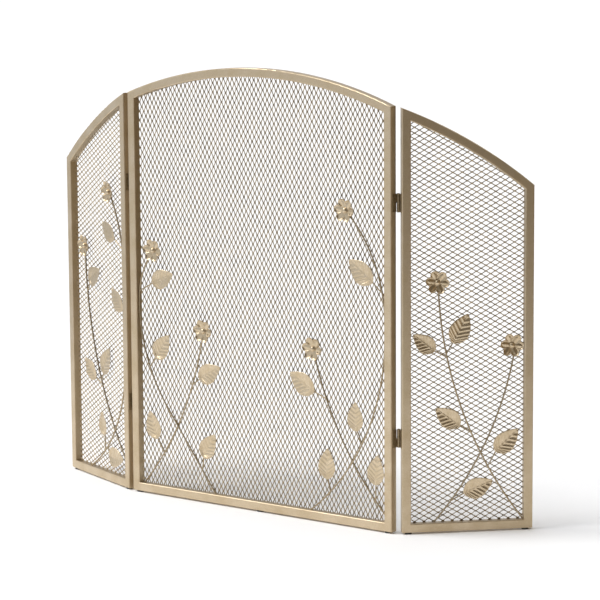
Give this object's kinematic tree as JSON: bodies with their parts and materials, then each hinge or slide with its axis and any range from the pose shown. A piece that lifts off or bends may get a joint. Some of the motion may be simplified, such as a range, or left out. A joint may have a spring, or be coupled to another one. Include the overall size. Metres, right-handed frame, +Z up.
{
  "type": "fireplace screen",
  "caption": "Free-standing folding fireplace screen with an arched tube frame, expanded metal mesh panels and vine sprays of leaves and flowers.",
  "frame": {"origin": "on the floor under the middle foot, at mid-depth of the centre panel's tubes", "axes": "+X along the centre panel to its right seen from the front, +Y to the back (the side the panels fold to), +Z up"},
  "size_m": [1.0131, 0.189, 0.8129],
  "materials": {
    "champagne_gold": "satin champagne gold",
    "mesh_gold": "satin champagne gold on cut expanded metal",
    "hinge_bronze": "dark antique bronze",
    "rubber": "matte black"
  },
  "bodies": {
    "centre_panel": {"centre_left_stile": "champagne_gold", "centre_right_stile": "champagne_gold", "centre_bottom_rail": "champagne_gold", "centre_arch_rail": "champagne_gold", "centre_mesh": "mesh_gold", "centre_feet": "rubber", "centre_left_tall_stem": "champagne_gold", "centre_left_short_stem": "champagne_gold", "centre_left_leaves": "champagne_gold", "centre_left_flowers": "champagne_gold", "centre_left_flower_buttons": "champagne_gold", "centre_right_tall_stem": "champagne_gold", "centre_right_short_stem": "champagne_gold", "centre_right_leaves": "champagne_gold", "centre_right_flowers": "champagne_gold", "centre_right_flower_buttons": "champagne_gold", "left_lower_hinge_centre_leaf": "hinge_bronze", "left_upper_hinge_centre_leaf": "hinge_bronze", "left_lower_hinge_pin": "hinge_bronze", "left_upper_hinge_pin": "hinge_bronze", "right_lower_hinge_centre_leaf": "hinge_bronze", "right_upper_hinge_centre_leaf": "hinge_bronze", "right_lower_hinge_pin": "hinge_bronze", "right_upper_hinge_pin": "hinge_bronze", "centre_hinge_screws": "hinge_bronze"},
    "left_panel": {"left_inner_stile": "champagne_gold", "left_outer_stile": "champagne_gold", "left_bottom_rail": "champagne_gold", "left_arch_rail": "champagne_gold", "left_mesh": "mesh_gold", "left_feet": "rubber", "left_tall_stem": "champagne_gold", "left_short_stem": "champagne_gold", "left_leaves": "champagne_gold", "left_flowers": "champagne_gold", "left_flower_buttons": "champagne_gold", "left_lower_hinge_side_leaf": "hinge_bronze", "left_upper_hinge_side_leaf": "hinge_bronze", "left_hinge_screws": "hinge_bronze"},
    "right_panel": {"right_inner_stile": "champagne_gold", "right_outer_stile": "champagne_gold", "right_bottom_rail": "champagne_gold", "right_arch_rail": "champagne_gold", "right_mesh": "mesh_gold", "right_feet": "rubber", "right_tall_stem": "champagne_gold", "right_short_stem": "champagne_gold", "right_leaves": "champagne_gold", "right_flowers": "champagne_gold", "right_flower_buttons": "champagne_gold", "right_lower_hinge_side_leaf": "hinge_bronze", "right_upper_hinge_side_leaf": "hinge_bronze", "right_hinge_screws": "hinge_bronze"}
  },
  "joints": [
    {"name": "left_fold", "type": "hinge", "parent": "centre_panel", "child": "left_panel", "pos_m": [-0.303, 0.01, 0.373], "axis": [0, 0, -1], "range_deg": [-21, 159]},
    {"name": "right_fold", "type": "hinge", "parent": "centre_panel", "child": "right_panel", "pos_m": [0.303, 0.01, 0.373], "axis": [0, 0, 1], "range_deg": [-46, 134]}
  ]
}
